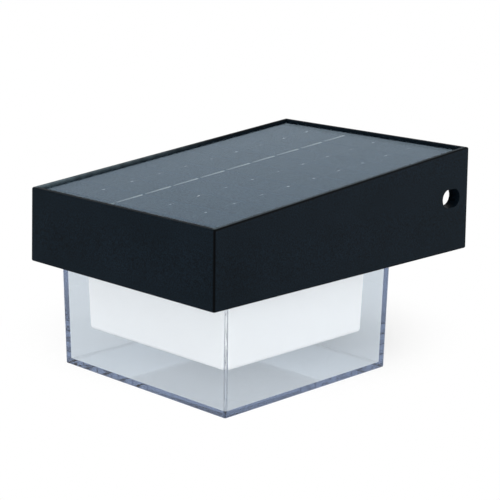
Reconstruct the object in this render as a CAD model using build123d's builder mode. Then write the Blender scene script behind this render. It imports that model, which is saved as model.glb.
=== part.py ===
from build123d import *
import os
from math import hypot, radians, tan

# Solar wall light: a drafted housing with a solar panel on its sloping top, and a clear square cover with
# an opal diffuser below. The origin is on the wall plane, at mid-width and at the height of the two side
# slots. The front faces -Y, +Z is up, and sizes are in millimetres.

# Housing, measured along its underside and at its front and wall ends
housing_width = 110.0
housing_depth = 154.0
front_height = 31.4
back_height = 45.0
draft = 1.0
wall = 2.4
deck_thickness = 2.0
corner_radius = 1.0
edge_radius = 0.8
inner_radius = 1.2
rim_width = 2.2
rim_edge = 0.4
rim_stand = 1.0
bay_depth = 19.0
bulkhead = 2.4
rib_thickness = 1.4
rib_depth = 1.6
rib_count = 4
rib_side_gap = 12.0

# Side slots that take the bracket's fixing screws, with the pad that thickens the wall round each slot
slot_rise = 23.7
slot_setback = 11.2
slot_length = 11.8
slot_height = 8.1
slot_pad = 3.3
slot_pad_rim = 1.6

# Solar panel, laid in the recess of the top
panel_clearance = 0.4
tape_thickness = 0.8
tape_width = 8.0
panel_board_thickness = 1.2
cell_thickness = 0.3
film_cover = 0.4
film_clearance = 0.04
strip_count = 9
strip_gap = 0.4
cell_side_margin = 1.2
cell_end_margin = 4.8
ribbon_thickness = 0.15
ribbon_width = 1.0
ribbon_gap = 1.8
ribbon_offset = 10.1
ribbon_tail = 3.2

# Base plate, set into a rebate of the housing walls
plate_thickness = 2.2
plate_recess = 1.0
plate_lip = 1.0
plate_fit = 0.2
base_seal_thickness = 0.8

# Clear cover, hung by its flange on the base plate
cover_side_inset = 5.6
cover_front_inset = 11.95
cover_back_inset = 44.95
cover_drop = 46.0
cover_wall = 2.4
cover_draft = 0.9
cover_corner = 1.0
cover_inner_corner = 0.2
cover_edge = 0.5
cover_fit = 0.25
flange_overhang = 1.8
flange_thickness = 2.0
cover_seal_thickness = 0.6

# Opal diffuser inside the cover
diffuser_inset = 7.8
diffuser_drop = 30.3
diffuser_wall = 1.6
diffuser_draft = 1.5
diffuser_corner = 2.0
diffuser_edge = 1.8
diffuser_flange = 1.4

# Tray with the lamp board under it
tray_thickness = 2.0
tray_screw_spread = 72.0
led_board_size = 56.0
led_board_thickness = 1.2
led_rows = 4
led_pitch = 12.0
led_length = 3.5
led_width = 2.8
led_height = 0.8
led_screw_inset = 4.0

# Battery, in two saddles on the tray and under a strap
battery_diameter = 18.4
battery_length = 65.0
battery_gap = 0.7
battery_nose = 1.2
battery_nose_radius = 3.0
battery_edge = 0.6
saddle_floor = 0.4
saddle_spacing = 44.0
saddle_thickness = 3.0
saddle_fit = 0.15
strap_width = 12.0
strap_thickness = 0.6
strap_foot = 7.0
strap_post = 4.0

# Control board above the power button
board_width = 44.0
board_depth = 17.0
board_thickness = 1.6
board_screw_inset = 3.4
chip_size = 5.0
chip_height = 1.5
inductor_size = 7.0
inductor_height = 4.0
capacitor_radius = 2.5
capacitor_height = 7.0
socket_width = 6.4
socket_depth = 4.4
socket_height = 4.0
socket_pitch = 12.0
part_offset = 4.2

# Power button and its push switch
button_radius = 4.0
button_fit = 0.08
button_proud = 0.6
button_edge = 0.5
button_flange_overhang = 1.4
button_flange = 1.0
button_stop_gap = 0.3
button_stem = 1.8
switch_size = 8.5
switch_height = 5.0
plunger_radius = 1.5
plunger_fit = 0.08
plunger_reach = 3.0
plunger_depth = 2.0
button_travel = 1.5
button_overtravel = 0.3

# Screws and leads
screw_radius = 1.2
screw_fit = 0.05
screw_pass_fit = 0.3
screw_sides = 6
head_radius = 2.3
head_sides = 6
base_head_sides = 24
head_height = 1.5
head_edge = 0.4
head_sink = 0.8
screw_bite = 6.0
post_radius = 2.7
post_sides = 8
boss_radius = 3.0
boss_inset = 3.4
lead_radius = 0.65
lead_sides = 6
lead_spacing = 2.0
lead_bend = 2.5
lead_hole_radius = 2.6

# Heights of the layers, from the underside of the housing up
draft_rate = tan(radians(draft))
underside = -slot_rise
plate_bottom = underside + plate_recess
plate_top = plate_bottom + plate_thickness
land = plate_top + base_seal_thickness
cover_flange_bottom = plate_top + cover_seal_thickness
diffuser_flange_bottom = cover_flange_bottom + flange_thickness
tray_bottom = diffuser_flange_bottom + diffuser_flange
tray_top = tray_bottom + tray_thickness
battery_axis = tray_top + saddle_floor + battery_diameter / 2

# The rim's plane falls from the wall to the front, and the layers of the top lie parallel to it
rim_run = housing_depth - front_height * draft_rate
rim_rise = back_height - front_height
rim_length = hypot(rim_run, rim_rise)
rim_plane = Plane(origin=(0, 0, underside + back_height), x_dir=(1, 0, 0), z_dir=(0, -rim_rise, rim_run))
film_thickness = cell_thickness + ribbon_thickness + film_cover
recess_depth = rim_stand + film_thickness + panel_board_thickness + tape_thickness
recess_width = housing_width - 2 * (back_height * draft_rate + rim_width)
recess_length = rim_length - 2 * rim_width
deck_top = rim_plane.offset(-recess_depth)
deck_plane = deck_top.offset(-deck_thickness)
panel_middle = (0, -rim_length / 2)


def panel_plane(height):
    """A plane parallel to the panel, at a height above the deck and centred on the panel."""
    plane = deck_top.offset(height)
    plane.origin = plane.from_local_coords(panel_middle)
    return plane


def deck_height(y):
    """Height of the deck's top face at a distance y from the wall plane."""
    return deck_top.origin.Z + (y - deck_top.origin.Y) * rim_rise / rim_run


# Plan of the inside
chamber_width = housing_width - 2 * wall
chamber_back = -(bay_depth + bulkhead)
chamber_front = wall - housing_depth
chamber_depth = chamber_back - chamber_front
chamber_middle = (0, (chamber_back + chamber_front) / 2)
boss_x = chamber_width / 2 - boss_inset
boss_front_y = chamber_front + boss_inset
boss_back_y = chamber_back - boss_inset
boss_points = [(x, y) for x in (-boss_x, boss_x) for y in (boss_front_y, boss_back_y)]

# Plan of the cover, whose sizes hold at the height of the underside
cover_width = housing_width - 2 * cover_side_inset
cover_depth = housing_depth - cover_front_inset - cover_back_inset
cover_middle = (0, (cover_front_inset - cover_back_inset - housing_depth) / 2)
cover_growth = 2 * tan(radians(cover_draft)) * (diffuser_flange_bottom - underside)
cover_top_width = cover_width + cover_growth
cover_top_depth = cover_depth + cover_growth
flange_width = cover_top_width + 2 * flange_overhang
flange_depth = cover_top_depth + 2 * flange_overhang
flange_front = cover_middle[1] - flange_depth / 2
flange_back = cover_middle[1] + flange_depth / 2
diffuser_growth = 2 * tan(radians(diffuser_draft)) * (diffuser_flange_bottom - underside)
diffuser_width = cover_width - 2 * diffuser_inset + diffuser_growth
diffuser_depth = cover_depth - 2 * diffuser_inset + diffuser_growth

# Screw places on the base plate: the tray's ears stand in front of and behind the cover's flange
tray_x = tray_screw_spread / 2
tray_front_y = (flange_front + chamber_front) / 2
tray_back_y = flange_back + post_radius + screw_pass_fit
tray_points = [(x, y) for x in (-tray_x, tray_x) for y in (tray_front_y, tray_back_y)]
led_screw = led_board_size / 2 - led_screw_inset
led_screw_sides = (-led_screw, led_screw)
led_screw_points = [(x, cover_middle[1] + y) for x in led_screw_sides for y in led_screw_sides]

# Places in the rear zone, between the bulkhead and the cover's flange
button_y = (chamber_back + flange_back) / 2
button_point = (0, button_y)
button_face = plate_bottom - button_proud
button_flange_bottom = plate_top + button_stop_gap
button_flange_top = button_flange_bottom + button_flange
stem_top = button_flange_top + button_stem
switch_bottom = stem_top + plunger_reach
board_bottom = switch_bottom + switch_height
board_top = board_bottom + board_thickness
board_screw_x = board_width / 2 - board_screw_inset
board_points = [(-board_screw_x, button_y), (board_screw_x, button_y)]
socket_y = button_y - part_offset
socket_top = board_top + socket_height
led_lead_y = cover_middle[1] + led_board_size / 2 - led_screw_inset / 2
battery_y = led_lead_y - lead_hole_radius - battery_gap - battery_diameter / 2
strap_y = battery_diameter / 2 + strap_foot / 2 + strap_thickness
strap_points = [(0, battery_y - strap_y), (0, battery_y + strap_y)]
lead_level = socket_top + 3 * lead_bend
battery_lead_level = socket_top + 1.5 * lead_bend


def frame_face(width, depth, inner_width, inner_depth):
    """A rectangular ring, drawn into the sketch that is open."""
    Rectangle(width, depth)
    Rectangle(inner_width, inner_depth, mode=Mode.SUBTRACT)


def upright_edges(edges):
    """The edges of a drafted box that run between its level faces."""
    return edges.filter_by(Plane.XY, reverse=True)


def hanging_plane(height):
    """A plane over the middle of the cover that faces down, so that a positive depth hangs below it."""
    return Plane(origin=(*cover_middle, height), x_dir=(1, 0, 0), z_dir=(0, 0, -1))


def screws(points, seat, side, length, sides=head_sides):
    """Screws at the points: heads on the side (1 above, -1 below) of the seat, shanks on the other."""
    with BuildPart() as group:
        with BuildSketch(Plane.XY.offset(seat)):
            with Locations(*points):
                RegularPolygon(head_radius, sides)
        extrude(amount=side * head_height)
        ends = group.faces().filter_by(Axis.Z).sort_by(Axis.Z)
        crowns = ends[-len(points):] if side > 0 else ends[:len(points)]
        chamfer(crowns.edges(), head_edge)
        with BuildSketch(Plane.XY.offset(seat)):
            with Locations(*points):
                RegularPolygon(screw_radius, screw_sides)
        extrude(amount=-side * length)
    return group.part


def leads(routes):
    """Leads along the routes: straight runs joined by arcs, with a section of a few flat sides."""
    with BuildPart() as group:
        for route in routes:
            with BuildLine() as path:
                FilletPolyline(*route, radius=lead_bend)
            with BuildSketch(Plane(origin=path.line @ 0, z_dir=path.line % 0)):
                RegularPolygon(lead_radius, lead_sides)
            sweep(path=path.line)
    return group.part


# Housing. The hollows are made first, with the bosses, ribs and pads left standing in them.
with BuildPart() as chamber:
    with BuildSketch(Plane.XY.offset(underside)):
        with Locations(chamber_middle):
            Rectangle(chamber_width, chamber_depth)
    extrude(amount=back_height, taper=draft)
    fillet(upright_edges(chamber.edges()), inner_radius)
    split(bisect_by=deck_plane, keep=Keep.BOTTOM)
    with BuildSketch(deck_plane):
        with Locations(panel_middle):
            with GridLocations(chamber_width - 2 * rib_side_gap, 0, 2, 1):
                Rectangle(rib_thickness, rim_length)
            with GridLocations(0, rim_length / rib_count, 1, rib_count):
                Rectangle(housing_width, rib_thickness)
    extrude(amount=-rib_depth, mode=Mode.SUBTRACT)
    with BuildSketch(Plane.XY.offset(land)):
        with Locations(*boss_points):
            RegularPolygon(boss_radius, post_sides)
    extrude(amount=back_height, mode=Mode.SUBTRACT)

with BuildPart() as bracket_bay:
    with BuildSketch(Plane.XY.offset(underside)):
        Rectangle(chamber_width, 2 * bay_depth)
    extrude(amount=back_height, taper=draft)
    split(bisect_by=deck_plane, keep=Keep.BOTTOM)
    pad_face = housing_width / 2 - slot_rise * draft_rate - wall - slot_pad
    for side in (-1, 1):
        with BuildSketch(Plane.YZ.offset(side * pad_face)):
            with Locations((-slot_setback, 0)):
                SlotOverall(slot_length + 2 * slot_pad_rim, slot_height + 2 * slot_pad_rim)
        extrude(amount=side * housing_width, mode=Mode.SUBTRACT)

with BuildPart() as housing:
    with BuildSketch(Plane.XY.offset(underside)):
        Rectangle(housing_width, 2 * housing_depth)
    extrude(amount=back_height + wall, taper=draft)
    fillet(upright_edges(housing.edges()), corner_radius)
    split(bisect_by=Plane.XZ, keep=Keep.TOP)
    split(bisect_by=rim_plane, keep=Keep.BOTTOM)
    fillet(housing.faces().sort_by(Axis.Z)[-1].edges(), edge_radius)
    fillet(housing.faces().sort_by(Axis.Z)[0].edges(), edge_radius)
    add(chamber.part, mode=Mode.SUBTRACT)
    add(bracket_bay.part, mode=Mode.SUBTRACT)
    with BuildSketch(Plane.XY.offset(underside)):
        Rectangle(housing_width - 2 * plate_lip, 2 * (housing_depth - plate_lip))
    extrude(amount=land - underside, mode=Mode.SUBTRACT)
    with BuildSketch(rim_plane):
        with Locations(panel_middle):
            Rectangle(recess_width, recess_length)
    extrude(amount=-recess_depth, mode=Mode.SUBTRACT)
    fillet(housing.edges(Select.LAST).group_by(Axis(rim_plane.origin, rim_plane.z_dir))[-1], rim_edge)
    with BuildSketch(Plane.YZ):
        with Locations((-slot_setback, 0)):
            SlotOverall(slot_length, slot_height)
    extrude(amount=housing_width, both=True, mode=Mode.SUBTRACT)
    with BuildSketch(Plane.XY.offset(land)):
        with Locations(*boss_points):
            RegularPolygon(screw_radius + screw_fit, screw_sides)
    extrude(amount=screw_bite + screw_fit, mode=Mode.SUBTRACT)
    with BuildSketch(Plane.XY.offset(socket_top)):
        with Locations((socket_pitch, button_y)):
            Circle(lead_hole_radius)
    extrude(amount=back_height, mode=Mode.SUBTRACT)

# Solar panel: foam tape, board, nine cell strips in series, their ribbons and the clear film over them
panel_width = recess_width - 2 * panel_clearance
panel_length = recess_length - 2 * panel_clearance
cell_width = panel_width - 2 * cell_side_margin
cells_length = panel_length - 2 * cell_end_margin
strip_pitch = cells_length / strip_count
board_level = tape_thickness + panel_board_thickness
ribbon_level = board_level + cell_thickness
tail_y = -(cells_length + ribbon_tail) / 2

with BuildPart() as panel_tape:
    with BuildSketch(panel_plane(0)):
        frame_face(panel_width, panel_length, panel_width - 2 * tape_width, panel_length - 2 * tape_width)
    extrude(amount=tape_thickness)

with BuildPart() as panel_board:
    with BuildSketch(panel_plane(tape_thickness)):
        Rectangle(panel_width, panel_length)
    extrude(amount=panel_board_thickness)

with BuildPart() as solar_cells:
    with BuildSketch(panel_plane(board_level)):
        with GridLocations(0, strip_pitch, 1, strip_count):
            Rectangle(cell_width, strip_pitch - strip_gap)
    extrude(amount=cell_thickness)

with BuildPart() as cell_ribbons:
    with BuildSketch(panel_plane(ribbon_level)):
        with Locations((-ribbon_offset, 0)):
            with GridLocations(0, strip_pitch, 1, strip_count):
                Rectangle(ribbon_width, strip_pitch - ribbon_gap)
    extrude(amount=ribbon_thickness)
    with BuildSketch(panel_plane(board_level)):
        with Locations((-ribbon_offset, tail_y)):
            Rectangle(ribbon_width, ribbon_tail)
    extrude(amount=cell_thickness + ribbon_thickness)

with BuildPart() as panel_film:
    with BuildSketch(panel_plane(board_level)):
        Rectangle(panel_width, panel_length)
    extrude(amount=film_thickness)
    with BuildSketch(panel_plane(board_level)):
        Rectangle(cell_width + 2 * film_clearance, cells_length + 2 * film_clearance)
    extrude(amount=cell_thickness + film_clearance, mode=Mode.SUBTRACT)
    with BuildSketch(panel_plane(board_level)):
        with Locations((-ribbon_offset, -ribbon_tail / 2)):
            Rectangle(ribbon_width + 2 * film_clearance, cells_length + ribbon_tail + 2 * film_clearance)
    extrude(amount=cell_thickness + ribbon_thickness + film_clearance, mode=Mode.SUBTRACT)

# Base plate with the cover's opening, the posts for the tray and control board, and the button's guide
plate_side = plate_lip + plate_fit
plate_width = housing_width - 2 * plate_side
plate_depth = housing_depth - plate_side - plate_fit
plate_middle = (0, -plate_fit - plate_depth / 2)

with BuildPart() as base_plate:
    with BuildSketch(Plane.XY.offset(plate_bottom)):
        with Locations(plate_middle):
            Rectangle(plate_width, plate_depth)
        with Locations(cover_middle):
            Rectangle(cover_top_width + 2 * cover_fit, cover_top_depth + 2 * cover_fit, mode=Mode.SUBTRACT)
        with Locations(button_point):
            Circle(button_radius + button_fit, mode=Mode.SUBTRACT)
        with Locations(*boss_points):
            RegularPolygon(screw_radius + screw_pass_fit, screw_sides, mode=Mode.SUBTRACT)
    extrude(amount=plate_thickness)
    with BuildSketch(Plane.XY.offset(plate_bottom)):
        with Locations(*boss_points):
            RegularPolygon(head_radius + screw_pass_fit, base_head_sides)
    extrude(amount=head_sink, mode=Mode.SUBTRACT)
    for points, post_top in ((tray_points, tray_bottom), (board_points, board_bottom)):
        with BuildSketch(Plane.XY.offset(plate_top)):
            with Locations(*points):
                RegularPolygon(post_radius, post_sides)
                RegularPolygon(screw_radius + screw_fit, screw_sides, mode=Mode.SUBTRACT)
        extrude(amount=post_top - plate_top)

with BuildPart() as base_seal:
    with BuildSketch(Plane.XY.offset(plate_top)):
        with Locations((0, (-bay_depth - housing_depth + plate_side) / 2)):
            Rectangle(plate_width, housing_depth - plate_side - bay_depth)
        with Locations(chamber_middle):
            Rectangle(chamber_width, chamber_depth, mode=Mode.SUBTRACT)
    extrude(amount=base_seal_thickness)

base_seat = plate_bottom + head_sink
base_screws = screws(boss_points, base_seat, -1, land - base_seat + screw_bite, base_head_sides)

# Clear cover and opal diffuser: drafted boxes, open above, that hang from flat flanges
with BuildPart() as clear_cover:
    with BuildSketch(hanging_plane(diffuser_flange_bottom)):
        Rectangle(cover_top_width, cover_top_depth)
    extrude(amount=diffuser_flange_bottom - underside + cover_drop, taper=cover_draft)
    fillet(upright_edges(clear_cover.edges()), cover_corner)
    fillet(clear_cover.faces().sort_by(Axis.Z)[0].edges(), cover_edge)
    with BuildSketch(Plane.XY.offset(cover_flange_bottom)):
        with Locations(cover_middle):
            RectangleRounded(flange_width, flange_depth, cover_corner)
    extrude(amount=flange_thickness)
    with BuildSketch(hanging_plane(diffuser_flange_bottom)):
        Rectangle(cover_top_width - 2 * cover_wall, cover_top_depth - 2 * cover_wall)
    extrude(
        amount=diffuser_flange_bottom - underside + cover_drop - cover_wall,
        taper=cover_draft,
        mode=Mode.SUBTRACT,
    )
    fillet(upright_edges(clear_cover.edges(Select.LAST)), cover_inner_corner)

with BuildPart() as cover_seal:
    with BuildSketch(Plane.XY.offset(plate_top)):
        with Locations(cover_middle):
            frame_face(
                flange_width,
                flange_depth,
                cover_top_width + 2 * cover_fit,
                cover_top_depth + 2 * cover_fit,
            )
    extrude(amount=cover_seal_thickness)

with BuildPart() as diffuser:
    with BuildSketch(hanging_plane(diffuser_flange_bottom)):
        Rectangle(diffuser_width, diffuser_depth)
    extrude(amount=diffuser_flange_bottom - underside + diffuser_drop, taper=diffuser_draft)
    fillet(upright_edges(diffuser.edges()), diffuser_corner)
    fillet(diffuser.faces().sort_by(Axis.Z)[0].edges(), diffuser_edge)
    with BuildSketch(Plane.XY.offset(diffuser_flange_bottom)):
        with Locations(cover_middle):
            RectangleRounded(flange_width, flange_depth, cover_corner)
    extrude(amount=diffuser_flange)
    with BuildSketch(hanging_plane(tray_bottom)):
        Rectangle(diffuser_width - 2 * diffuser_wall, diffuser_depth - 2 * diffuser_wall)
    extrude(
        amount=tray_bottom - underside + diffuser_drop - diffuser_wall,
        taper=diffuser_draft,
        mode=Mode.SUBTRACT,
    )
    fillet(upright_edges(diffuser.edges(Select.LAST)), diffuser_corner - diffuser_wall)

# Tray: it clamps both flanges on its four ears, and carries the lamp board below and the battery above
with BuildPart() as led_tray:
    with BuildSketch(Plane.XY.offset(tray_bottom)):
        with Locations(cover_middle):
            RectangleRounded(flange_width, flange_depth, cover_corner)
        for x, y in tray_points:
            with Locations((x, y)):
                Circle(post_radius)
            with Locations((x, (y + cover_middle[1]) / 2)):
                Rectangle(2 * post_radius, abs(y - cover_middle[1]))
        with Locations(*tray_points):
            RegularPolygon(screw_radius + screw_pass_fit, screw_sides, mode=Mode.SUBTRACT)
        with Locations(*led_screw_points):
            RegularPolygon(screw_radius + screw_fit, screw_sides, mode=Mode.SUBTRACT)
        with Locations((-socket_pitch, led_lead_y)):
            Circle(lead_hole_radius, mode=Mode.SUBTRACT)
    extrude(amount=tray_thickness)
    with BuildSketch(Plane.XY.offset(tray_top)):
        with Locations(*strap_points):
            RegularPolygon(strap_foot / 2, post_sides)
            RegularPolygon(screw_radius + screw_fit, screw_sides, mode=Mode.SUBTRACT)
    extrude(amount=strap_post)
    saddle_height = battery_axis - tray_top - battery_diameter / 4
    for x in (-saddle_spacing / 2, saddle_spacing / 2):
        with BuildSketch(Plane.YZ.offset(x)):
            with Locations((battery_y, tray_top + saddle_height / 2)):
                Rectangle(battery_diameter, saddle_height)
            with Locations((battery_y, battery_axis)):
                Circle(battery_diameter / 2 + saddle_fit, mode=Mode.SUBTRACT)
        extrude(amount=saddle_thickness / 2, both=True)

led_tray_screws = screws(tray_points, tray_top, 1, tray_thickness + tray_bottom - plate_top)

led_seat = tray_bottom - led_board_thickness

with BuildPart() as led_board:
    with BuildSketch(Plane.XY.offset(tray_bottom)):
        with Locations(cover_middle):
            Rectangle(led_board_size, led_board_size)
        with Locations(*led_screw_points):
            RegularPolygon(screw_radius + screw_pass_fit, screw_sides, mode=Mode.SUBTRACT)
    extrude(amount=-led_board_thickness)

with BuildPart() as led_chips:
    with BuildSketch(Plane.XY.offset(led_seat)):
        with Locations(cover_middle):
            with GridLocations(led_pitch, led_pitch, led_rows, led_rows):
                Rectangle(led_length, led_width)
    extrude(amount=-led_height)

led_board_screws = screws(led_screw_points, led_seat, -1, led_board_thickness + tray_thickness)

# Battery cell with its raised nose, and the strap that holds it down
with BuildPart() as battery_cell:
    with BuildSketch(Plane.YZ.offset(-battery_length / 2)):
        with Locations((battery_y, battery_axis)):
            Circle(battery_diameter / 2)
    extrude(amount=battery_length - battery_nose)
    chamfer(battery_cell.edges().filter_by(GeomType.CIRCLE), battery_edge)
    with BuildSketch(Plane.YZ.offset(battery_length / 2)):
        with Locations((battery_y, battery_axis)):
            Circle(battery_nose_radius)
    extrude(amount=-2 * battery_nose)

strap_radius = battery_diameter / 2 + strap_thickness / 2 + saddle_fit
strap_bottom = tray_top + strap_post + strap_thickness / 2
strap_end = strap_radius + strap_foot

with BuildPart() as battery_strap:
    with BuildSketch(Plane.YZ):
        with BuildLine():
            Line((battery_y - strap_end, strap_bottom), (battery_y - strap_radius, strap_bottom))
            Line((battery_y - strap_radius, strap_bottom), (battery_y - strap_radius, battery_axis))
            CenterArc((battery_y, battery_axis), strap_radius, 0, 180)
            Line((battery_y + strap_radius, battery_axis), (battery_y + strap_radius, strap_bottom))
            Line((battery_y + strap_radius, strap_bottom), (battery_y + strap_end, strap_bottom))
        trace(line_width=strap_thickness)
    extrude(amount=strap_width / 2, both=True)
    with BuildSketch(Plane.XY.offset(tray_top)):
        with Locations(*strap_points):
            RegularPolygon(screw_radius + screw_pass_fit, screw_sides)
    extrude(amount=strap_post + 2 * strap_thickness, mode=Mode.SUBTRACT)

strap_seat = tray_top + strap_post + strap_thickness
strap_screws = screws(strap_points, strap_seat, 1, strap_thickness + strap_post)

# Control board with its parts, and the push switch that hangs under it
with BuildPart() as control_board:
    with BuildSketch(Plane.XY.offset(board_bottom)):
        with Locations(button_point):
            Rectangle(board_width, board_depth)
        with Locations(*board_points):
            RegularPolygon(screw_radius + screw_pass_fit, screw_sides, mode=Mode.SUBTRACT)
    extrude(amount=board_thickness)

board_screws = screws(board_points, board_top, 1, board_thickness + screw_bite)

with BuildPart() as charge_chip:
    with BuildSketch(Plane.XY.offset(board_top)):
        with Locations((-socket_pitch, button_y + part_offset)):
            Rectangle(chip_size, chip_size)
    extrude(amount=chip_height)

with BuildPart() as boost_inductor:
    with BuildSketch(Plane.XY.offset(board_top)):
        with Locations((0, button_y + part_offset)):
            RectangleRounded(inductor_size, inductor_size, inductor_size / 4)
    extrude(amount=inductor_height)

with BuildPart() as filter_capacitor:
    with BuildSketch(Plane.XY.offset(board_top)):
        with Locations((socket_pitch, button_y + part_offset)):
            Circle(capacitor_radius)
    extrude(amount=capacitor_height)

with BuildPart() as wire_sockets:
    with BuildSketch(Plane.XY.offset(board_top)):
        with Locations((0, socket_y)):
            with GridLocations(socket_pitch, 0, 3, 1):
                Rectangle(socket_width, socket_depth)
    extrude(amount=socket_height)

with BuildPart() as switch_body:
    with BuildSketch(Plane.XY.offset(switch_bottom)):
        with Locations(button_point):
            Rectangle(switch_size, switch_size)
    extrude(amount=switch_height)
    with BuildSketch(Plane.XY.offset(switch_bottom)):
        with Locations(button_point):
            Circle(plunger_radius + plunger_fit)
    extrude(amount=plunger_depth + button_travel + button_overtravel, mode=Mode.SUBTRACT)

with BuildPart() as switch_plunger:
    with BuildSketch(Plane.XY.offset(stem_top)):
        with Locations(button_point):
            Circle(plunger_radius)
    extrude(amount=plunger_reach + plunger_depth)

with BuildPart() as power_button:
    with BuildSketch(Plane.XY.offset(button_face)):
        with Locations(button_point):
            Circle(button_radius)
    extrude(amount=button_flange_bottom - button_face)
    chamfer(power_button.faces().sort_by(Axis.Z)[0].edges(), button_edge)
    with BuildSketch(Plane.XY.offset(button_flange_bottom)):
        with Locations(button_point):
            Circle(button_radius + button_flange_overhang)
    extrude(amount=button_flange)
    with BuildSketch(Plane.XY.offset(button_flange_top)):
        with Locations(button_point):
            Circle(plunger_radius)
    extrude(amount=button_stem)

# Leads: from the panel and the lamp board down and up to their sockets, and from both ends of the battery
panel_underside = deck_height(button_y - lead_radius) + tape_thickness
panel_routes = []
led_routes = []
battery_routes = []
for side in (-1, 1):
    offset_x = side * lead_spacing / 2
    panel_x = socket_pitch + offset_x
    panel_routes.append([
        (panel_x, button_y, panel_underside),
        (panel_x, button_y, (panel_underside + lead_level) / 2),
        (panel_x, socket_y, (lead_level + socket_top) / 2),
        (panel_x, socket_y, socket_top),
    ])
    led_x = -socket_pitch + offset_x
    led_routes.append([
        (led_x, led_lead_y, tray_bottom),
        (led_x, led_lead_y, lead_level),
        (led_x, socket_y, lead_level),
        (led_x, socket_y, socket_top),
    ])
    end_x = side * battery_length / 2
    bend_x = end_x + side * 2 * lead_bend
    battery_routes.append([
        (end_x, battery_y, battery_axis),
        (bend_x, battery_y, battery_axis),
        (bend_x, battery_y + battery_diameter, battery_axis),
        (offset_x, flange_back - lead_bend, battery_lead_level),
        (offset_x, socket_y, battery_lead_level),
        (offset_x, socket_y, socket_top),
    ])
panel_leads = leads(panel_routes)
led_leads = leads(led_routes)
battery_leads = leads(battery_routes)

pieces = {
    "housing": housing.part,
    "panel_tape": panel_tape.part,
    "panel_board": panel_board.part,
    "solar_cells": solar_cells.part,
    "cell_ribbons": cell_ribbons.part,
    "panel_film": panel_film.part,
    "base_plate": base_plate.part,
    "base_seal": base_seal.part,
    "base_screws": base_screws,
    "clear_cover": clear_cover.part,
    "cover_seal": cover_seal.part,
    "diffuser": diffuser.part,
    "led_tray": led_tray.part,
    "led_tray_screws": led_tray_screws,
    "led_board": led_board.part,
    "led_chips": led_chips.part,
    "led_board_screws": led_board_screws,
    "battery_cell": battery_cell.part,
    "battery_strap": battery_strap.part,
    "strap_screws": strap_screws,
    "control_board": control_board.part,
    "board_screws": board_screws,
    "charge_chip": charge_chip.part,
    "boost_inductor": boost_inductor.part,
    "filter_capacitor": filter_capacitor.part,
    "wire_sockets": wire_sockets.part,
    "switch_body": switch_body.part,
    "switch_plunger": switch_plunger.part,
    "power_button": power_button.part,
    "panel_leads": panel_leads,
    "led_leads": led_leads,
    "battery_leads": battery_leads,
}
os.makedirs("parts", exist_ok=True)
for name, piece in pieces.items():
    piece.label = name
    export_step(piece, f"parts/{name}.step")
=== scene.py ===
# %% [markdown]
# A solar wall light: a black moulded housing with a solar panel on its sloping top, and a clear square
# cover with a white diffuser inside it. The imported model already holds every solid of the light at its
# real size and place, so this lesson loads it as a fixed frame, dresses each solid in the finish of its
# real material, and adds the few pieces that are too fine for the solids. Everything is in metres.

# %% Load the frame
import math

import bmesh
import bpy
from mathutils import Matrix, Vector


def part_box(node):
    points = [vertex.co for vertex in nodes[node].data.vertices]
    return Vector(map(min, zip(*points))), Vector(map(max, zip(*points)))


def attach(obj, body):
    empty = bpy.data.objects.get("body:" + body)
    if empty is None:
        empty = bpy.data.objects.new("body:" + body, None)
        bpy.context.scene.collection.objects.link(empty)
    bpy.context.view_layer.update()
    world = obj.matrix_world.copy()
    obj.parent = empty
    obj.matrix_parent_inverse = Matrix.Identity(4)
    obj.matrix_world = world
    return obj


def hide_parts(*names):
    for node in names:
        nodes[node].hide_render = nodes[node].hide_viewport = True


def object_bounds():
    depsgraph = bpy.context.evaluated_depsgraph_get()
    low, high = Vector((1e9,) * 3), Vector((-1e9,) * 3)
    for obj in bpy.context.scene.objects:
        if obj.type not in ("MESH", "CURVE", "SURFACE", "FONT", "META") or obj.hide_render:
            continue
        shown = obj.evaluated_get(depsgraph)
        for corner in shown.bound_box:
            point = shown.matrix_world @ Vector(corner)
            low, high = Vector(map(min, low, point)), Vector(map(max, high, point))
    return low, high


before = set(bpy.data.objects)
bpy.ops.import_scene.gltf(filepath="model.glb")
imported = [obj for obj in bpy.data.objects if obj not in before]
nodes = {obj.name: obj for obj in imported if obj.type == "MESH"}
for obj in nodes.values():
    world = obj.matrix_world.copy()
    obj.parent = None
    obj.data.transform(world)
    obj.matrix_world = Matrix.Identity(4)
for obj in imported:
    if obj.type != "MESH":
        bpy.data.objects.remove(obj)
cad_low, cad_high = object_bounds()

MM = 0.001
print("nodes:", len(nodes), "size in mm:", [round(side / MM, 1) for side in cad_high - cad_low])

# %% [markdown]
# The camera comes first, because every later choice is judged through it. A camera can be placed by hand
# in the viewport, but the photographer's place was worked out from the housing's corners, so its
# direction, distance and lens are written here as the numbers that a photographer would note. The
# camera's own axes are right, up and back, and the small roll is the tilt of a hand-held camera.

# %% Camera
azimuth = math.radians(44.364)
elevation = math.radians(13.584)
roll = math.radians(0.762)
camera_distance = 655.0 * MM
aim = Vector((-2.17, -76.87, -22.26)) * MM
lens_mm = 109.65

back = Vector((
    math.sin(azimuth) * math.cos(elevation),
    -math.cos(azimuth) * math.cos(elevation),
    math.sin(elevation),
))
right = Vector((math.cos(azimuth), math.sin(azimuth), 0))
turn = Matrix((right, back.cross(right), back)).transposed() @ Matrix.Rotation(roll, 3, "Z")
camera = bpy.data.objects.new("camera", bpy.data.cameras.new("camera"))
camera.data.lens = lens_mm
camera.matrix_world = Matrix.Translation(aim + back * camera_distance) @ turn.to_4x4()
bpy.context.scene.collection.objects.link(camera)
bpy.context.scene.camera = camera
print("camera at", [round(value, 3) for value in camera.location])

# %% [markdown]
# Five small helpers serve every finish. Colours are picked on screen as sRGB hex values, and the shaders
# calculate with linear light, so one function turns the first into the second. One function adds a node
# with its settings and links. A pattern's scale is a number of cells in a metre, so one function works it
# out from the size of the real grain in millimetres. The last two start a finish and give it to nodes.
# All of it could be done by hand in the shader editor, but in code the same finish comes out each time.

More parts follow.
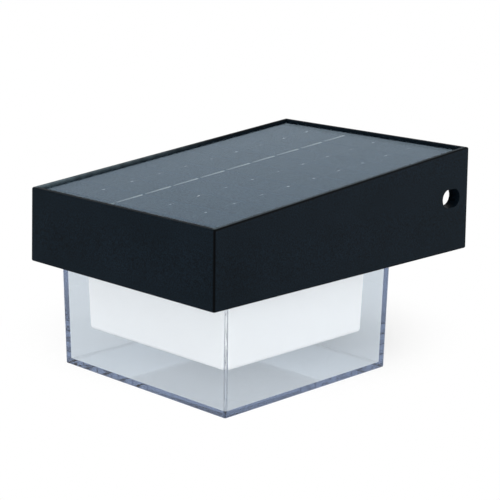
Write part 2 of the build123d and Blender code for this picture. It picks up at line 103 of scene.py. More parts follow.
# %% Helpers for finishes
def colour(code):
    """Linear colour of an sRGB hex code such as "1a2b3c"."""
    shares = [int(code[place:place + 2], 16) / 255 for place in (0, 2, 4)]
    linear = [share / 12.92 if share <= 0.04045 else ((share + 0.055) / 1.055) ** 2.4 for share in shares]
    return (*linear, 1.0)


def put(tree, kind, inputs=None, **settings):
    """Add a node: settings are its properties, and inputs gives each socket a value or a link."""
    made = tree.nodes.new(kind)
    for name, value in settings.items():
        setattr(made, name, value)
    for socket, value in (inputs or {}).items():
        if isinstance(value, bpy.types.NodeSocket):
            tree.links.new(value, made.inputs[socket])
        else:
            made.inputs[socket].default_value = value
    return made


def per_metre(size_mm):
    """Scale of a pattern whose cells are that many millimetres wide."""
    return 1 / (size_mm * MM)


def start_finish(name, sockets):
    """A new material; a value that is the same all over is set on the shader's own socket."""
    finish = bpy.data.materials.new(name)
    finish.use_nodes = True
    shader = finish.node_tree.nodes["Principled BSDF"]
    for socket, value in sockets.items():
        shader.inputs[socket].default_value = value
    return finish, finish.node_tree, shader


def dress(finish, *names):
    """Give the finish to the nodes of those names."""
    for name in names:
        nodes[name].data.materials.clear()
        nodes[name].data.materials.append(finish)
    print(finish.name, "on", ", ".join(names))


print("helpers ready; white is", colour("ffffff"))

# %% [markdown]
# The studio is a white sweep. Its floor is pale and keeps the soft shadow under the light. A real sweep
# is a roll of paper that bends up behind the object, but that would stand in the way of the views from
# behind. So the floor is one large square whose material fades to plain white, away from the shadow, for
# the rays that reach the eye: straight, in gloss or through glass. From below it lets the eye through, so
# that the underside can be looked at too.

# %% Floor
floor_gap = 0.2 * MM
floor_size = 12.0

bed = bmesh.new()
bmesh.ops.create_grid(bed, x_segments=1, y_segments=1, size=floor_size / 2)
bmesh.ops.translate(bed, verts=bed.verts, vec=(0, 0, cad_low.z - floor_gap))
floor = bpy.data.objects.new("studio_floor", bpy.data.meshes.new("studio_floor"))
bed.to_mesh(floor.data)
bed.free()
bpy.context.scene.collection.objects.link(floor)
floor_level = floor.data.vertices[0].co.z
print("floor at", round(floor_level / MM, 2), "mm")

# %% White where the shadow ends
# Matt white paint. The shadow falls to the rear left, so the fade is centred there.
shadow_lean = Vector((-38.0, 46.0, 0.0)) * MM
shadow_reach = 10.0 * MM
white_reach = 110.0 * MM

sweep, tree, shader = start_finish("painted_studio_floor", {
    "Base Color": colour("f3f3f2"),
    "Roughness": 0.8,
})
path = put(tree, "ShaderNodeLightPath")
seen = path.outputs["Is Camera Ray"]
for other in ("Is Glossy Ray", "Is Transmission Ray"):
    either = put(tree, "ShaderNodeMath", {0: seen, 1: path.outputs[other]}, operation="MAXIMUM")
    seen = either.outputs["Value"]
place = put(tree, "ShaderNodeTexCoord")
cover_low, cover_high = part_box("clear_cover")
shadow_middle = (cover_low + cover_high) / 2 + shadow_lean
shadow_middle.z = floor_level
reach = put(tree, "ShaderNodeVectorMath", {
    0: place.outputs["Object"],
    1: shadow_middle,
}, operation="DISTANCE")
fade = put(tree, "ShaderNodeMapRange", {
    "Value": reach.outputs["Value"],
    "From Min": shadow_reach,
    "From Max": white_reach,
}, interpolation_type="SMOOTHSTEP")
share = put(tree, "ShaderNodeMath", {0: fade.outputs["Result"], 1: seen}, operation="MULTIPLY")
white = put(tree, "ShaderNodeEmission", {"Color": colour("ffffff"), "Strength": 1.0})
top = put(tree, "ShaderNodeMixShader", {0: share.outputs["Value"], 1: shader.outputs["BSDF"]})
tree.links.new(white.outputs["Emission"], top.inputs[2])
side = put(tree, "ShaderNodeNewGeometry")
open_below = put(tree, "ShaderNodeBsdfTransparent")
whole = put(tree, "ShaderNodeMixShader", {0: side.outputs["Backfacing"], 1: top.outputs["Shader"]})
tree.links.new(open_below.outputs["BSDF"], whole.inputs[2])
tree.links.new(whole.outputs["Shader"], tree.nodes["Material Output"].inputs["Surface"])
floor.data.materials.append(sweep)
print("floor white from", round(white_reach / MM), "mm")

# %% [markdown]
# The room round the floor is the world, an even white at a strength of 1. A picture of a real studio
# could light it, but even white shows each colour about as it is written, and it is the white background
# as well.

# %% Room
room_level = 1.0
room = bpy.data.worlds.new("white_room")
bpy.context.scene.world = room
room.use_nodes = True
room_light = room.node_tree.nodes["Background"]
room_light.inputs["Color"].default_value = colour("ffffff")
room_light.inputs["Strength"].default_value = room_level
print("room level", room_level)

# %% [markdown]
# Two wide, low lamps give the faces a slight difference in tone: one straight ahead, and one at the right
# rear that skims the long side. In a studio, black cards keep the lamps' glare off the panel. Light
# linking does it here: the film is left out of what the lamps light, and shows only the room. The lamps
# don't show through the clear cover either.

# %% Lamps
lamp_width = 0.8
lamp_height = 0.3
unlit = bpy.data.collections.new("kept_from_lamps")
unlit.objects.link(nodes["panel_film"])
unlit.collection_objects[0].light_linking.link_state = "EXCLUDE"


def soft_lamp(name, place, watts):
    """A wide, low lamp that faces the middle of the light."""
    lamp = bpy.data.objects.new(name, bpy.data.lights.new(name, "AREA"))
    lamp.data.shape = "RECTANGLE"
    lamp.data.size = lamp_width
    lamp.data.size_y = lamp_height
    lamp.data.energy = watts
    lamp.visible_transmission = False
    lamp.light_linking.receiver_collection = unlit
    lamp.location = place
    lamp.rotation_euler = (aim - Vector(place)).to_track_quat("-Z", "Y").to_euler()
    bpy.context.scene.collection.objects.link(lamp)
    print(name, "of", watts, "watts at", place)


soft_lamp("front_lamp", (0.0, -1.05, 0.12), 4.3)
soft_lamp("side_lamp", (0.9, 0.35, 0.12), 4.8)

# %% [markdown]
# The housing and base plate are black ABS, moulded in a steel tool whose walls were spark-eroded to a
# fine grain. The grain breaks up the gloss, so the plastic looks dull and almost black, with a cool cast,
# and its tone drifts a little where the melt flowed. A picture of plastic could be wrapped on, but noise
# in object space needs no unwrapping and has no seams at the corners.

# %% Moulded plastics
grain_middle = (0.25, 0.75)


def moulded(name, dark, light, drift_mm, grain_mm, depth_mm, rough, sockets, mottle=0.0):
    """A moulded plastic: a tone that drifts from dark to light, and a grain that dents and roughens it.

    A real grain is about 0.1 mm wide, too fine for the render, so each finish gives a coarser one.
    With mottle, the grain also darkens and lightens the tone by up to that share.
    """
    finish, tree, shader = start_finish(name, sockets)
    place = put(tree, "ShaderNodeTexCoord")
    drift = put(tree, "ShaderNodeTexNoise", {
        "Vector": place.outputs["Object"],
        "Scale": per_metre(drift_mm),
        "Detail": 4.0,
    })
    tone = put(tree, "ShaderNodeMixRGB", {
        "Fac": drift.outputs["Fac"],
        "Color1": colour(dark),
        "Color2": colour(light),
    })
    tree.links.new(tone.outputs["Color"], shader.inputs["Base Color"])
    grain = put(tree, "ShaderNodeTexNoise", {
        "Vector": place.outputs["Object"],
        "Scale": per_metre(grain_mm),
        "Detail": 2.0,
    })
    gloss = put(tree, "ShaderNodeMapRange", {
        "Value": grain.outputs["Fac"],
        "To Min": rough[0],
        "To Max": rough[1],
    })
    tree.links.new(gloss.outputs["Result"], shader.inputs["Roughness"])
    dents = put(tree, "ShaderNodeBump", {"Height": grain.outputs["Fac"], "Distance": depth_mm * MM})
    tree.links.new(dents.outputs["Normal"], shader.inputs["Normal"])
    if mottle:
        spots = put(tree, "ShaderNodeMapRange", {
            "Value": grain.outputs["Fac"],
            "From Min": grain_middle[0],
            "From Max": grain_middle[1],
            "To Min": 1 - mottle,
            "To Max": 1 + mottle,
        })
        mottled = put(tree, "ShaderNodeVectorMath", {
            0: tone.outputs["Color"],
            1: spots.outputs["Result"],
        }, operation="MULTIPLY")
        tree.links.new(mottled.outputs["Vector"], shader.inputs["Base Color"])
    return finish


# %% Black ABS of the base plate
# The eye sees a nearly black, cool and even surface with soft edges of light. The real grain is about
# 0.1 mm; it is drawn at 0.5 mm, the finest that still shows in the render.
black_abs = moulded(
    "moulded_black_abs", "040c12", "0c161e", 30.0, 0.5, 0.02, (0.42, 0.62),
    {"IOR": 1.53, "Specular IOR Level": 0.03}, mottle=0.9,
)
dress(black_abs, "base_plate")

# %% [markdown]
# The housing is the same plastic, with painted light and painted shade on it. The two long rims are painted
# paler, most of all at the left and towards the front: painted light, where the rims catch the lamps. The
# rounded edges are painted near black: painted shade, for the dark that they reflect. Both could be
# painted on a map, but the shape tells where they belong. The rim follows the sloping top, so a Mapping
# node turns object space until the rim lies level, with Z at 0 on its top and Y at 0 at the rear.

# %% Level space on the housing's rim
rim_fall_mm = 13.6
rim_run_mm = 153.45
black_abs_with_painted_rim_light_and_edge_shade = black_abs.copy()
black_abs_with_painted_rim_light_and_edge_shade.name = "moulded_black_abs_with_painted_rim_light_and_edge_shade"
tree = black_abs_with_painted_rim_light_and_edge_shade.node_tree
shader = tree.nodes["Principled BSDF"]
tone = shader.inputs["Base Color"].links[0].from_socket
housing_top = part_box("housing")[1].z
rim_tilt = math.atan2(rim_fall_mm, rim_run_mm)
place = put(tree, "ShaderNodeTexCoord")
level = put(tree, "ShaderNodeMapping", {
    "Vector": place.outputs["Object"],
    "Location": -(Matrix.Rotation(-rim_tilt, 3, "X") @ Vector((0, 0, housing_top))),
    "Rotation": (-rim_tilt, 0, 0),
})
axes = put(tree, "ShaderNodeSeparateXYZ", {"Vector": level.outputs["Vector"]})
print("rim falls", round(math.degrees(rim_tilt), 2), "degrees to the front")

# %% Painted light on the long rims
rim_inner_mm = 52.0
rim_flat_mm = (53.2, 54.0)
painted_rim_light_depth_mm = 1.0
soft_mm = 1.0
sharp_mm = 0.1
painted_rim_light_share = (0.8, 1.7)
right_share = 0.45
slant_share = -0.9
slant_fade_mm = (-105.0, -2.0)
end_fade_mm = (-1.5, -0.5)
streaks = put(tree, "ShaderNodeTexNoise", {
    "Vector": place.outputs["Object"],
    "Scale": per_metre(4.0),
    "Detail": 3.0,
})
across = put(tree, "ShaderNodeMath", {0: axes.outputs["X"]}, operation="ABSOLUTE")
slant = put(tree, "ShaderNodeMath", {
    0: axes.outputs["X"],
    1: slant_share,
    2: axes.outputs["Y"],
}, operation="MULTIPLY_ADD")
# The mask built here is painted light: where it is high, the long rims are painted a pale grey, as where
# light catches them, and noise breaks it up.
painted_rim_light = streaks.outputs["Fac"]
for value, start, end, low, high in (
    # Near the top of the rim, and most of all at the very top.
    (axes.outputs["Z"], -painted_rim_light_depth_mm - soft_mm, -painted_rim_light_depth_mm, 0.0, 1.0),
    (axes.outputs["Z"], -painted_rim_light_depth_mm, 0.0, *painted_rim_light_share),
    # From a long rim's inner wall to about the middle of its flat.
    (across.outputs["Value"], rim_inner_mm - sharp_mm, rim_inner_mm, 0.0, 1.0),
    (across.outputs["Value"], *rim_flat_mm, 1.0, 0.0),
    # Less on the right rim, and less and less towards the rear, where the left rim ends black.
    (axes.outputs["X"], -rim_inner_mm, rim_inner_mm, 1.0, right_share),
    (slant.outputs["Value"], *slant_fade_mm, 1.0, 0.0),
    # Fading out at both ends, before the front and rear rims.
    (axes.outputs["Y"], -rim_run_mm, soft_mm - rim_run_mm, 0.0, 1.0),
    (axes.outputs["Y"], *end_fade_mm, 1.0, 0.0),
):
    limit = put(tree, "ShaderNodeMapRange", {
        "Value": value,
        "From Min": start * MM,
        "From Max": end * MM,
        "To Min": low,
        "To Max": high,
    })
    part = put(tree, "ShaderNodeMath", {0: painted_rim_light, 1: limit.outputs["Result"]}, operation="MULTIPLY")
    painted_rim_light = part.outputs["Value"]
print("rubbed rims from", rim_inner_mm, "to", rim_flat_mm[1], "mm on each side")

# %% Painted shade on the rounded edges
# Where a side rounds into another face, its normal turns from X towards Y or Z. X squared times the rest
# is zero on every flat face, and a quarter halfway round an edge.
edge_full = 0.2
facing = put(tree, "ShaderNodeSeparateXYZ", {"Vector": place.outputs["Normal"]})
sideways = put(tree, "ShaderNodeMath", {
    0: facing.outputs["X"],
    1: facing.outputs["X"],
}, operation="MULTIPLY")
other = put(tree, "ShaderNodeMath", {0: 1.0, 1: sideways.outputs["Value"]}, operation="SUBTRACT")
turned = put(tree, "ShaderNodeMath", {
    0: sideways.outputs["Value"],
    1: other.outputs["Value"],
}, operation="MULTIPLY")
edge = put(tree, "ShaderNodeMapRange", {"Value": turned.outputs["Value"], "From Max": edge_full})
# Painted shade: the rounded edges are painted near black, a painted dark reflection.
edge_painted_near_black = put(tree, "ShaderNodeMixRGB", {
    "Fac": edge.outputs["Result"],
    "Color1": tone,
    "Color2": colour("010203"),
})
# Painted light: the rims' mask lays a pale grey over the tone.
tone_with_painted_light_and_shade = put(tree, "ShaderNodeMixRGB", {
    "Fac": painted_rim_light,
    "Color1": edge_painted_near_black.outputs["Color"],
    "Color2": colour("58666d"),
})
tree.links.new(tone_with_painted_light_and_shade.outputs["Color"], shader.inputs["Base Color"])
dress(black_abs_with_painted_rim_light_and_edge_shade, "housing")

# %% [markdown]
# The push button comes from a smoother tool. It could share the housing's finish, but on the real light a
# finger and the eye have to find it in the shade, so it is a dark grey of its own.

# %% Push button
# A little lighter and shinier than the housing. Its real grain is about 0.1 mm and is drawn at 0.35 mm.
grey_abs = moulded(
    "moulded_dark_grey_abs", "25292d", "2c3135", 6.0, 0.35, 0.01, (0.3, 0.45),
    {"IOR": 1.53, "Specular IOR Level": 0.3},
)
dress(grey_abs, "power_button")

# %% [markdown]
# The panel's own plane is needed next, to lay fine pieces on it and to line patterns up with it. The
# frame gives the cells' box, and the box of a tilted slab gives its top edges: the highest point is at
# the rear, and the furthest forward is at the front.

# %% The panel's plane
cell_thickness = 0.3 * MM
strip_count = 9
strip_gap = 0.4 * MM
cells_low, cells_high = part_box("solar_cells")
rise = cells_high.z - cells_low.z
run = cells_high.y - cells_low.y
tilt = math.atan2(rise, run)
# The slab's thickness adds to its box, and the tilt says how much, so a few rounds settle both.
for _ in range(8):
    tilt = math.atan2(rise - cell_thickness * math.cos(tilt), run - cell_thickness * math.sin(tilt))
cells_length = (run - cell_thickness * math.sin(tilt)) / math.cos(tilt)
cells_front = Vector((0, cells_low.y, cells_low.z + cell_thickness * math.cos(tilt)))
slope = Vector((0, math.cos(tilt), math.sin(tilt)))
cells_middle = cells_front + slope * (cells_length / 2)
panel_place = Matrix.Translation(cells_middle) @ Matrix.Rotation(tilt, 4, "X")
strip_pitch = (cells_length + strip_gap) / strip_count
print("panel tilt", round(math.degrees(tilt), 3), "degrees; strip pitch", round(strip_pitch / MM, 2), "mm")

# %% [markdown]
# A cell strip is a slice of monocrystalline silicon under a blue anti-reflection coat, with silver
# fingers printed across it. Fingers are far too many to model, so they are bands in the material, turned
# with a Mapping node until they lie along the strip. Each strip is cut from another wafer, so its blue
# differs a little, and a fine speckle stands for the etched surface.

# %% Solar cells
# The eye sees a deep grey-blue with hardly any gloss of its own, because the film over it gives the
# shine. The etched pyramids are thousandths of a millimetre wide, so their speckle is drawn at 0.6 mm.
finger_pitch = 1.3 * MM
finger_width = 0.08 * MM
finger_share = 0.25
silicon, tree, shader = start_finish("coated_silicon", {
    "IOR": 1.5,
    "Roughness": 0.45,
    "Specular IOR Level": 0.1,
})
place = put(tree, "ShaderNodeTexCoord")
flat = put(tree, "ShaderNodeMapping", {
    "Vector": place.outputs["Object"],
    "Location": -(Matrix.Rotation(-tilt, 3, "X") @ cells_front),
    "Rotation": (-tilt, 0, 0),
})
axes = put(tree, "ShaderNodeSeparateXYZ", {"Vector": flat.outputs["Vector"]})
strip = put(tree, "ShaderNodeMath", {0: axes.outputs["Y"], 1: strip_pitch}, operation="DIVIDE")
wafer = put(tree, "ShaderNodeMath", {0: strip.outputs["Value"]}, operation="FLOOR")
chance = put(tree, "ShaderNodeTexWhiteNoise", {"W": wafer.outputs["Value"]}, noise_dimensions="1D")
tint = put(tree, "ShaderNodeMixRGB", {
    "Fac": chance.outputs["Value"],
    "Color1": colour("161c2b"),
    "Color2": colour("1c2435"),
})
etch = put(tree, "ShaderNodeTexNoise", {
    "Vector": place.outputs["Object"],
    "Scale": per_metre(0.6),
    "Detail": 3.0,
})
speckle = put(tree, "ShaderNodeMixRGB", {
    "Fac": etch.outputs["Fac"],
    "Color1": tint.outputs["Color"],
    "Color2": colour("2a3346"),
})
finger = put(tree, "ShaderNodeMath", {0: axes.outputs["Y"], 1: finger_pitch}, operation="MODULO")
band = put(tree, "ShaderNodeMath", {0: finger.outputs["Value"], 1: finger_width}, operation="LESS_THAN")
faint = put(tree, "ShaderNodeMath", {0: band.outputs["Value"], 1: finger_share}, operation="MULTIPLY")
printed = put(tree, "ShaderNodeMixRGB", {
    "Fac": faint.outputs["Value"],
    "Color1": speckle.outputs["Color"],
    "Color2": colour("8d949c"),
})
print("fingers every", round(finger_pitch / MM, 2), "mm")

# %% Cut ends of the strips
# The cut ends have no coat, so they show bare silicon, a lighter grey. The grey is also painted light
# that makes up for the shade in the narrow gaps between the strips. Only the coated face looks up.
coated_above = 0.5
facing = put(tree, "ShaderNodeSeparateXYZ", {"Vector": place.outputs["Normal"]})
cut = put(tree, "ShaderNodeMath", {0: facing.outputs["Z"], 1: coated_above}, operation="LESS_THAN")
strip_face = put(tree, "ShaderNodeMixRGB", {
    "Fac": cut.outputs["Value"],
    "Color1": printed.outputs["Color"],
    "Color2": colour("616c7e"),
})
tree.links.new(strip_face.outputs["Color"], shader.inputs["Base Color"])
dress(silicon, "solar_cells")

# %% [markdown]
# The wide ribbon on the panel is tinned copper strip, soldered on by a machine that leaves a dull,
# slightly streaked silver. Each strip of it is painted darker towards its front end: a painted shade.
# Brushed metal is often drawn with an anisotropic shader, but the ribbon is a few pixels wide, so noise
# that is stretched along it does as well.

# %% Tinned copper
# A soft silver that turns duller and brighter in fine streaks along the strip.
streak_share = 0.06
tinned, tree, shader = start_finish("hot_dipped_tinned_copper", {"Metallic": 1.0})
place = put(tree, "ShaderNodeTexCoord")
stretch = put(tree, "ShaderNodeMapping", {
    "Vector": place.outputs["Object"],
    "Scale": (1.0, streak_share, streak_share),
})
streaks = put(tree, "ShaderNodeTexNoise", {
    "Vector": stretch.outputs["Vector"],
    "Scale": per_metre(0.25),
    "Detail": 4.0,
})
silver = put(tree, "ShaderNodeMixRGB", {
    "Fac": streaks.outputs["Fac"],
    "Color1": colour("a3a7a9"),
    "Color2": colour("d6d9d7"),
})
flat = put(tree, "ShaderNodeMapping", {
    "Vector": place.outputs["Object"],
    "Location": -(Matrix.Rotation(-tilt, 3, "X") @ cells_front),
    "Rotation": (-tilt, 0, 0),
})
axes = put(tree, "ShaderNodeSeparateXYZ", {"Vector": flat.outputs["Vector"]})
# Painted shade: each strip is painted darker towards its front end.
along = put(tree, "ShaderNodeMath", {0: axes.outputs["Y"], 1: strip_pitch}, operation="MODULO")
painted_strip_shade = put(tree, "ShaderNodeMapRange", {"Value": along.outputs["Value"], "From Max": strip_pitch})
tin_with_painted_shade = put(tree, "ShaderNodeMixRGB", {
    "Fac": painted_strip_shade.outputs["Result"],
    "Color1": colour("7d8285"),
    "Color2": silver.outputs["Color"],
})
tree.links.new(tin_with_painted_shade.outputs["Color"], shader.inputs["Base Color"])
dull = put(tree, "ShaderNodeMapRange", {"Value": streaks.outputs["Fac"], "To Min": 0.3, "To Max": 0.6})
tree.links.new(dull.outputs["Result"], shader.inputs["Roughness"])
dress(tinned, "cell_ribbons")

# %% [markdown]
# The other three columns of the panel carry only thin printed lines, with a solder dot on each strip.
# Each dot got its own share of solder, so some shine and some nearly vanish under the film. Every dot
# could have a material of its own, but noise whose cells are wider than a dot gives each of them its own
# tone in one.

# %% Solder
# A bright, nearly white metal that is clouded by flux in spots.
solder_tin, tree, shader = start_finish("reflowed_tin_solder", {"Metallic": 1.0})
place = put(tree, "ShaderNodeTexCoord")
flux = put(tree, "ShaderNodeTexNoise", {
    "Vector": place.outputs["Object"],
    "Scale": per_metre(0.5),
    "Detail": 2.0,
})
bright = put(tree, "ShaderNodeMixRGB", {
    "Fac": flux.outputs["Fac"],
    "Color1": colour("dcdfe0"),
    "Color2": colour("f6f7f6"),
})
share = put(tree, "ShaderNodeTexNoise", {
    "Vector": place.outputs["Object"],
    "Scale": per_metre(7.0),
    "Detail": 0.0,
})
plenty = put(tree, "ShaderNodeMapRange", {
    "Value": share.outputs["Fac"],
    "From Min": 0.3,
    "From Max": 0.7,
})
poured = put(tree, "ShaderNodeMixRGB", {
    "Fac": plenty.outputs["Result"],
    "Color1": colour("98a0a6"),
    "Color2": bright.outputs["Color"],
})
tree.links.new(poured.outputs["Color"], shader.inputs["Base Color"])
dull = put(tree, "ShaderNodeMapRange", {"Value": flux.outputs["Fac"], "To Min": 0.3, "To Max": 0.5})
tree.links.new(dull.outputs["Result"], shader.inputs["Roughness"])
print(solder_tin.name, "ready")

# %% [markdown]
# The lines and dots are real shapes on the real panel. They could be drawn in the cells' material, but as
# pieces they catch the light on their own faces and keep their edges when the model is exported. They lie
# on the cells, in the small pocket under the film: each is made flat round the origin, and one turn lays
# them all on the panel's plane.

# %% Printed lines and solder dots
column_offset = 10.1 * MM
thin_columns = [column_offset * step for step in (-3, 1, 3)]
line_width = 0.03 * MM
line_height = 0.015 * MM
dot_width = 0.6 * MM
dot_length = 1.7 * MM
dot_height = 0.03 * MM
dot_from_rear = 4.2 * MM
dot_segments = 12
line_size = (line_width, strip_pitch - 4 * strip_gap, line_height)


def add_piece(name, shape, finish, body="light"):
    """Turn a finished bmesh into a piece of the object that rides on a body."""
    piece = bpy.data.objects.new(name, bpy.data.meshes.new(name))
    shape.to_mesh(piece.data)
    shape.free()
    piece.data.materials.append(finish)
    bpy.context.scene.collection.objects.link(piece)
    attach(piece, body)
    print(name, "faces:", len(piece.data.polygons))
    return piece


lines = bmesh.new()
dots = bmesh.new()
for x in thin_columns:
    for number in range(strip_count):
        strip_middle = (number + 0.5) * strip_pitch - (cells_length + strip_gap) / 2
        line = bmesh.ops.create_cube(lines, size=1.0)["verts"]
        bmesh.ops.scale(lines, verts=line, vec=line_size)
        bmesh.ops.translate(lines, verts=line, vec=(x, strip_middle, line_height / 2))
        dot = bmesh.ops.create_cone(
            dots, cap_ends=True, segments=dot_segments,
            radius1=dot_width / 2, radius2=dot_width / 3, depth=dot_height,
        )["verts"]
        bmesh.ops.scale(dots, verts=dot, vec=(1, dot_length / dot_width, 1))
        dot_y = strip_middle + strip_pitch / 2 - dot_from_rear
        bmesh.ops.translate(dots, verts=dot, vec=(x, dot_y, dot_height / 2))
for shape in (lines, dots):
    bmesh.ops.transform(shape, matrix=panel_place, verts=shape.verts)
for name, shape, finish in (("printed_cell_lines", lines, tinned), ("solder_dots", dots, solder_tin)):
    add_piece(name, shape, finish)

# %% [markdown]
# A clear film is laminated over the cells. Its face has a satin texture that keeps dirt and glare down,
# so the white room shows in it only as an even grey-blue veil, stronger where it is seen at a low angle.
# A film can be faked by a coat on the cells, but the real one is a separate sheet, so it is a see-through
# solid with a satin face, and the cells lie just under it. The mix of the two follows Blender's
# gloss-by-angle node, and the gloss is a metal's, because only a metal's reflection takes a colour.

# %% Satin film
film, tree, shader = start_finish("satin_laminated_film", {"Metallic": 1.0})
place = put(tree, "ShaderNodeTexCoord")
# The real texture is about 0.2 mm; it is drawn at 0.6 and 0.7 mm, which still shows at a low angle.
glints = put(tree, "ShaderNodeTexNoise", {
    "Vector": place.outputs["Object"],
    "Scale": per_metre(0.7),
    "Detail": 0.0,
})
grey_blue = put(tree, "ShaderNodeMixRGB", {
    "Fac": glints.outputs["Fac"],
    "Color1": colour("5c7a8a"),
    "Color2": colour("9dc9e2"),
})
tree.links.new(grey_blue.outputs["Color"], shader.inputs["Base Color"])
satin = put(tree, "ShaderNodeTexNoise", {
    "Vector": place.outputs["Object"],
    "Scale": per_metre(0.6),
    "Detail": 3.0,
})
gloss = put(tree, "ShaderNodeMapRange", {"Value": satin.outputs["Fac"], "To Min": 0.14, "To Max": 0.17})
tree.links.new(gloss.outputs["Result"], shader.inputs["Roughness"])
veil = put(tree, "ShaderNodeFresnel", {"IOR": 1.4})
side = put(tree, "ShaderNodeNewGeometry")
outer = put(tree, "ShaderNodeMath", {0: 1.0, 1: side.outputs["Backfacing"]}, operation="SUBTRACT")
share = put(tree, "ShaderNodeMath", {
    0: veil.outputs["Fac"],
    1: outer.outputs["Value"],
}, operation="MULTIPLY")
through = put(tree, "ShaderNodeBsdfTransparent", {"Color": colour("f7f9fb")})
sheet = put(tree, "ShaderNodeMixShader", {0: share.outputs["Value"], 1: through.outputs["BSDF"]})
tree.links.new(shader.outputs["BSDF"], sheet.inputs[2])
tree.links.new(sheet.outputs["Shader"], tree.nodes["Material Output"].inputs["Surface"])
dress(film, "panel_film")

# %% [markdown]
# The cover is one clear moulding with walls thick enough to bend the light, so its edges gather the dark
# of the housing and the grey of the floor into lines. Glass can be a flat transparent sheet in a drawing,
# but a solid with a true index of refraction shows those lines by itself. The plastic has a slight cool
# tint that deepens with the way that light has to go, so it shows most in the edges. Light that falls
# through the walls would make bright, noisy patterns, so for shadows and scattered light the walls are
# simply see-through.

# %% Clear cover
clear, tree, shader = start_finish("moulded_clear_acrylic", {
    "Base Color": colour("e6ebef"),
    "IOR": 1.49,
    "Transmission Weight": 1.0,
})
place = put(tree, "ShaderNodeTexCoord")
haze = put(tree, "ShaderNodeTexNoise", {
    "Vector": place.outputs["Object"],
    "Scale": per_metre(18.0),
    "Detail": 2.0,
})
polish = put(tree, "ShaderNodeMapRange", {"Value": haze.outputs["Fac"], "To Min": 0.0, "To Max": 0.01})
tree.links.new(polish.outputs["Result"], shader.inputs["Roughness"])
path = put(tree, "ShaderNodeLightPath")
light_rays = put(tree, "ShaderNodeMath", {
    0: path.outputs["Is Shadow Ray"],
    1: path.outputs["Is Diffuse Ray"],
}, operation="MAXIMUM")
lit = put(tree, "ShaderNodeBsdfTransparent", {"Color": colour("fbfcfd")})
wall = put(tree, "ShaderNodeMixShader", {0: light_rays.outputs["Value"], 1: shader.outputs["BSDF"]})
tree.links.new(lit.outputs["BSDF"], wall.inputs[2])
tree.links.new(wall.outputs["Shader"], tree.nodes["Material Output"].inputs["Surface"])
depth = put(tree, "ShaderNodeVolumeAbsorption", {"Color": colour("4f80b4"), "Density": 16.0})
tree.links.new(depth.outputs["Volume"], tree.nodes["Material Output"].inputs["Volume"])
# The faces' own normals, not smoothed ones, keep the narrow edge facets flat, so each shows as a fine
# line.
facets = put(tree, "ShaderNodeNewGeometry")
tree.links.new(facets.outputs["True Normal"], shader.inputs["Normal"])
dress(clear, "clear_cover")

# %% [markdown]
# The diffuser is opal plastic: clear resin with a white filler, so light soaks in and spreads before it
# comes out. The eye sees an even white with soft edges and no highlights. Subsurface scattering gives
# that softness, and a faint drift in tone keeps it from looking like paper.

# %% Opal diffuser
opal = moulded(
    "moulded_opal_acrylic", "f7f1ed", "fef8f3", 22.0, 0.8, 0.004, (0.35, 0.5),
    {
        "IOR": 1.49,
        "Specular IOR Level": 0.4,
        "Subsurface Weight": 0.5,
        "Subsurface Radius": (1.0, 1.0, 1.0),
        "Subsurface Scale": 2.0 * MM,
    },
)
dress(opal, "diffuser")

# %% [markdown]
# Under the cells lie a blue-black glass-fibre board and a ring of foam tape that glues it to the housing.
# They show only when the light is taken apart, but a part library is opened and looked into, so they are
# finished too. The board is woven glass cloth in resin: two Wave textures that cross each other dent it
# like a weave. The foam is full of closed bubbles, which a texture of round cells draws.

# %% Board under the cells
# Blue-black, a little lighter than the cells to make up for the shade in the gaps between them, with a
# cloth pattern in its gloss. One band of the Wave texture is a tenth of pi wide at a scale of 1.
thread_mm = 1.2
weave_depth = 0.02 * MM
fibre_board, tree, shader = start_finish("pressed_glass_fibre_board", {"IOR": 1.5, "Roughness": 0.45})
place = put(tree, "ShaderNodeTexCoord")
warp = put(tree, "ShaderNodeTexWave", {
    "Vector": place.outputs["Object"],
    "Scale": per_metre(thread_mm) * math.pi / 10,
}, bands_direction="X")
weft = put(tree, "ShaderNodeTexWave", {
    "Vector": place.outputs["Object"],
    "Scale": per_metre(thread_mm) * math.pi / 10,
}, bands_direction="Y")
cloth = put(tree, "ShaderNodeMath", {0: warp.outputs["Fac"], 1: weft.outputs["Fac"]}, operation="MULTIPLY")
shade = put(tree, "ShaderNodeMixRGB", {
    "Fac": cloth.outputs["Value"],
    "Color1": colour("2b3447"),
    "Color2": colour("38425a"),
})
tree.links.new(shade.outputs["Color"], shader.inputs["Base Color"])
dents = put(tree, "ShaderNodeBump", {"Height": cloth.outputs["Value"], "Distance": weave_depth})
tree.links.new(dents.outputs["Normal"], shader.inputs["Normal"])
dress(fibre_board, "panel_board")

# %% Foam tape
# Dull black with a pitted look. The bubbles are drawn at 0.6 mm, coarser than the real 0.2 mm.
bubble_depth = 0.1 * MM
foam, tree, shader = start_finish("closed_cell_foam_tape", {"IOR": 1.45, "Roughness": 0.85})
place = put(tree, "ShaderNodeTexCoord")
bubbles = put(tree, "ShaderNodeTexVoronoi", {"Vector": place.outputs["Object"], "Scale": per_metre(0.6)})
shade = put(tree, "ShaderNodeMixRGB", {
    "Fac": bubbles.outputs["Distance"],
    "Color1": colour("0a0a0b"),
    "Color2": colour("1c1c1d"),
})
tree.links.new(shade.outputs["Color"], shader.inputs["Base Color"])
pits = put(tree, "ShaderNodeBump", {"Height": bubbles.outputs["Distance"], "Distance": bubble_depth})
tree.links.new(pits.outputs["Normal"], shader.inputs["Normal"])
dress(foam, "panel_tape")

# %% [markdown]
# Two flat seals keep the rain out, both cut from silicone sheet. The one under the cover's flange is
# milky and lets a little light in, so it takes the same moulded finish as the plastics with some
# subsurface scattering. The one round the base plate shows as a thin line in the open bay, so its sheet
# is filled with carbon and black.

